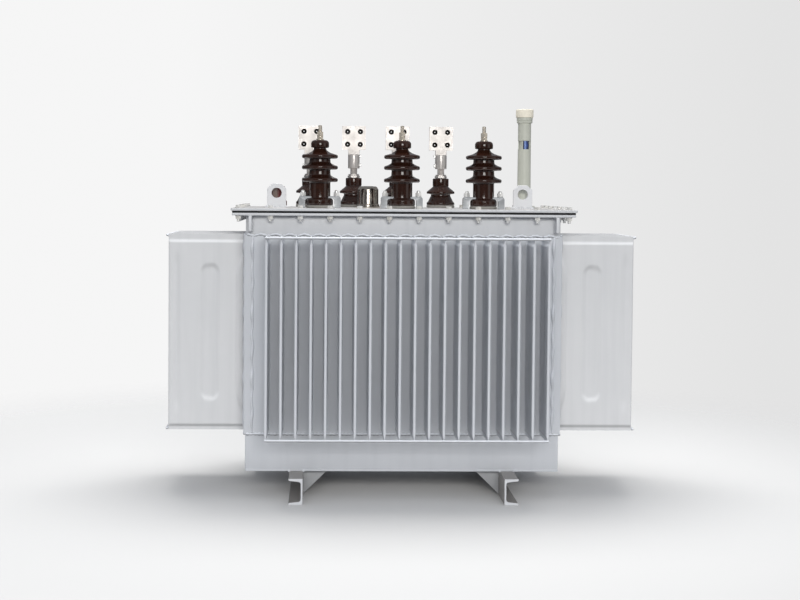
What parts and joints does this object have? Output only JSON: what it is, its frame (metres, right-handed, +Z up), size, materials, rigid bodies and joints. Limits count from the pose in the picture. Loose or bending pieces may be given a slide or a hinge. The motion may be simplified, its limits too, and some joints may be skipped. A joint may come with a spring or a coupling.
{
  "type": "oil-filled distribution transformer",
  "caption": "Oil-filled distribution transformer: grey corrugated tank on channel feet, with brown porcelain bushings, palm terminals, lifting lugs and an oil gauge on its bolted cover.",
  "frame": {"origin": "on the ground under the middle of the two foot channels", "axes": "+X along the tank's long side, +Y from the high-voltage side to the low-voltage side, +Z up"},
  "size_m": [1.4904, 0.7864, 1.2295],
  "materials": {
    "tank_paint": "satin",
    "gasket_rubber": "matte",
    "porcelain": "gloss",
    "zinc": "satin",
    "cast_clamp": "satin",
    "tinned": "satin",
    "seat_gasket": "matte",
    "nickel": "polished",
    "gauge_body": "satin",
    "gauge_glass": "gloss",
    "gauge_cap": "matte",
    "tap_knob": "gloss"
  },
  "bodies": {
    "root": {"base_channel_left": "tank_paint", "base_channel_right": "tank_paint", "base_gussets": "tank_paint", "tank_floor": "tank_paint", "lower_band": "tank_paint", "upper_band": "tank_paint", "corrugated_wall_front": "tank_paint", "corrugated_wall_back": "tank_paint", "corrugated_wall_left": "tank_paint", "corrugated_wall_right": "tank_paint", "fin_rods_front": "tank_paint", "fin_rods_back": "tank_paint", "fin_rods_left": "tank_paint", "fin_rods_right": "tank_paint", "flange_ribs": "tank_paint", "tank_flange": "tank_paint", "cover_plate": "tank_paint", "lifting_lug_left": "tank_paint", "lifting_lug_right": "tank_paint", "cover_gasket": "gasket_rubber", "hv_porcelain_1": "porcelain", "hv_terminal_1": "zinc", "hv_clamps_1": "cast_clamp", "hv_porcelain_2": "porcelain", "hv_terminal_2": "zinc", "hv_clamps_2": "cast_clamp", "hv_porcelain_3": "porcelain", "hv_terminal_3": "zinc", "hv_clamps_3": "cast_clamp", "lv_porcelain_1": "porcelain", "lv_terminal_1": "tinned", "lv_porcelain_2": "porcelain", "lv_terminal_2": "tinned", "lv_porcelain_3": "porcelain", "lv_terminal_3": "tinned", "lv_porcelain_4": "porcelain", "lv_terminal_4": "tinned", "bushing_gaskets": "seat_gasket", "relief_valve": "nickel", "tap_changer": "tap_knob", "gauge_tube": "gauge_body", "gauge_window": "gauge_glass", "gauge_cap": "gauge_cap"}
  },
  "joints": []
}
